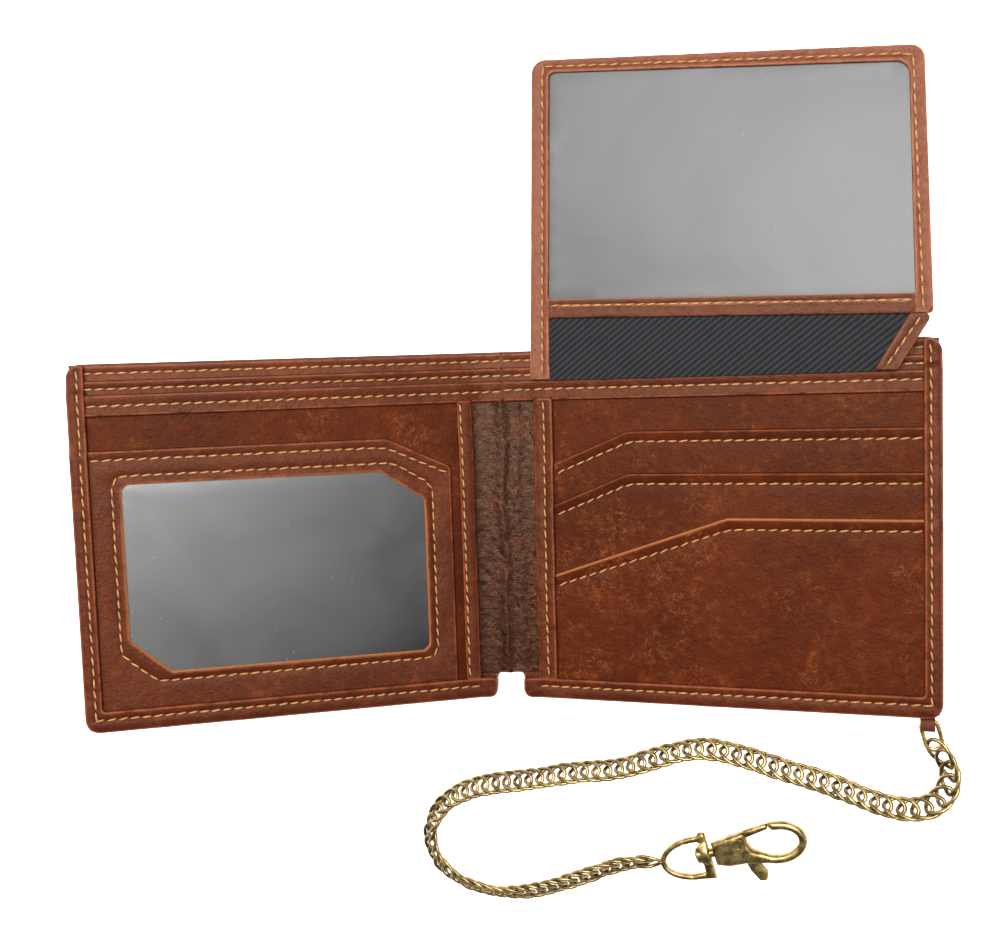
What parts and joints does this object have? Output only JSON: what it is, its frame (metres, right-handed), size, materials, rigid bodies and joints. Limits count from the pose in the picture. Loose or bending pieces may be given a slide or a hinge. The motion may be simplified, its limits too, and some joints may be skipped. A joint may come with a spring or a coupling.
{
  "type": "chain wallet",
  "caption": "Open bifold leather wallet with card slots, a clear window pocket, a flip-up window flap, and a curb chain ending in a swivel snap hook.",
  "frame": {"origin": "on the right half's outer face, at the fold beside the spine and the middle of its height", "axes": "+X from the spine across the right half, +Y up the wallet, +Z out of its inner face"},
  "size_m": [0.2165, 0.2323, 0.0614],
  "materials": {
    "cover_leather": "waxed",
    "pocket_leather": "waxed, crackled",
    "trim_leather": "waxed",
    "soft_leather": "soft, creased",
    "lining_leather": "matt",
    "twill": "diagonal twill",
    "clear_film": "clear film",
    "antique_brass": "antique, worn",
    "spring_steel": "plain"
  },
  "bodies": {
    "right_half": {"right_cover": "cover_leather", "right_lining": "lining_leather", "right_divider": "pocket_leather", "right_inner_panel": "pocket_leather", "right_card_slot_upper": "pocket_leather", "right_card_slot_lower": "pocket_leather", "right_front_pocket": "pocket_leather", "right_top_band": "trim_leather", "right_spine_edge_strip": "trim_leather", "right_edge_binding": "trim_leather", "chain_tab": "trim_leather"},
    "spine": {"spine_cover": "cover_leather", "spine_inner_leather": "soft_leather", "spine_top_band": "trim_leather"},
    "left_half": {"left_cover": "cover_leather", "left_lining": "lining_leather", "left_divider": "pocket_leather", "left_inner_panel": "pocket_leather", "left_window_pocket": "pocket_leather", "left_window_film": "clear_film", "left_top_band": "trim_leather", "left_spine_edge_strip": "trim_leather", "left_edge_binding": "trim_leather"},
    "flap": {"flap_back_frame": "pocket_leather", "flap_frame": "pocket_leather", "flap_crossbar": "pocket_leather", "flap_window_film": "clear_film", "flap_hinge_cloth": "twill", "flap_strap": "trim_leather"},
    "chain_run": {"anchor_ring": "antique_brass", "chain": "antique_brass"},
    "bail": {"swivel_bail": "antique_brass"},
    "hook": {"swivel_post": "antique_brass", "hook_body": "antique_brass", "gate_rivet": "antique_brass", "gate_spring": "spring_steel"},
    "gate": {"gate_lever": "antique_brass"}
  },
  "joints": [
    {"name": "right_fold", "type": "hinge", "parent": "right_half", "child": "spine", "pos_m": [0, 0, 0.002], "axis": [0, 1, 0], "range_deg": [-15, 67.5]},
    {"name": "left_fold", "type": "hinge", "parent": "spine", "child": "left_half", "pos_m": [-0.01545, 0, 0.00614], "axis": [0, 1, 0], "range_deg": [-15, 67.5]},
    {"name": "flap_fold", "type": "hinge", "parent": "right_half", "child": "flap", "pos_m": [0, 0.0402, 0.0065], "axis": [1, 0, 0], "range_deg": [0, 182]},
    {"name": "chain_swing", "type": "hinge", "parent": "right_half", "child": "chain_run", "pos_m": [0.1014, -0.0527, 0.0025], "axis": [0, 0, 1], "range_deg": [0, 30]},
    {"name": "bail_swing", "type": "hinge", "parent": "chain_run", "child": "bail", "pos_m": [0.03388, -0.09232, 0.0025], "axis": [0, 0, 1], "range_deg": [-35, 8]},
    {"name": "hook_swivel", "type": "hinge", "parent": "bail", "child": "hook", "pos_m": [0.0458, -0.0889, 0.0025], "axis": [0.9613, 0.2756, 0], "continuous": true},
    {"name": "gate_open", "type": "hinge", "parent": "hook", "child": "gate", "pos_m": [0.05401, -0.08561, 0.0025], "axis": [0, 0, 1], "range_deg": [-22, 0], "stiffness_Nm_per_rad": 0.02, "springref_deg": 8.59}
  ],
  "couplings": [
    {"joint": "left_fold", "follows": "right_fold", "ratio": 1}
  ]
}
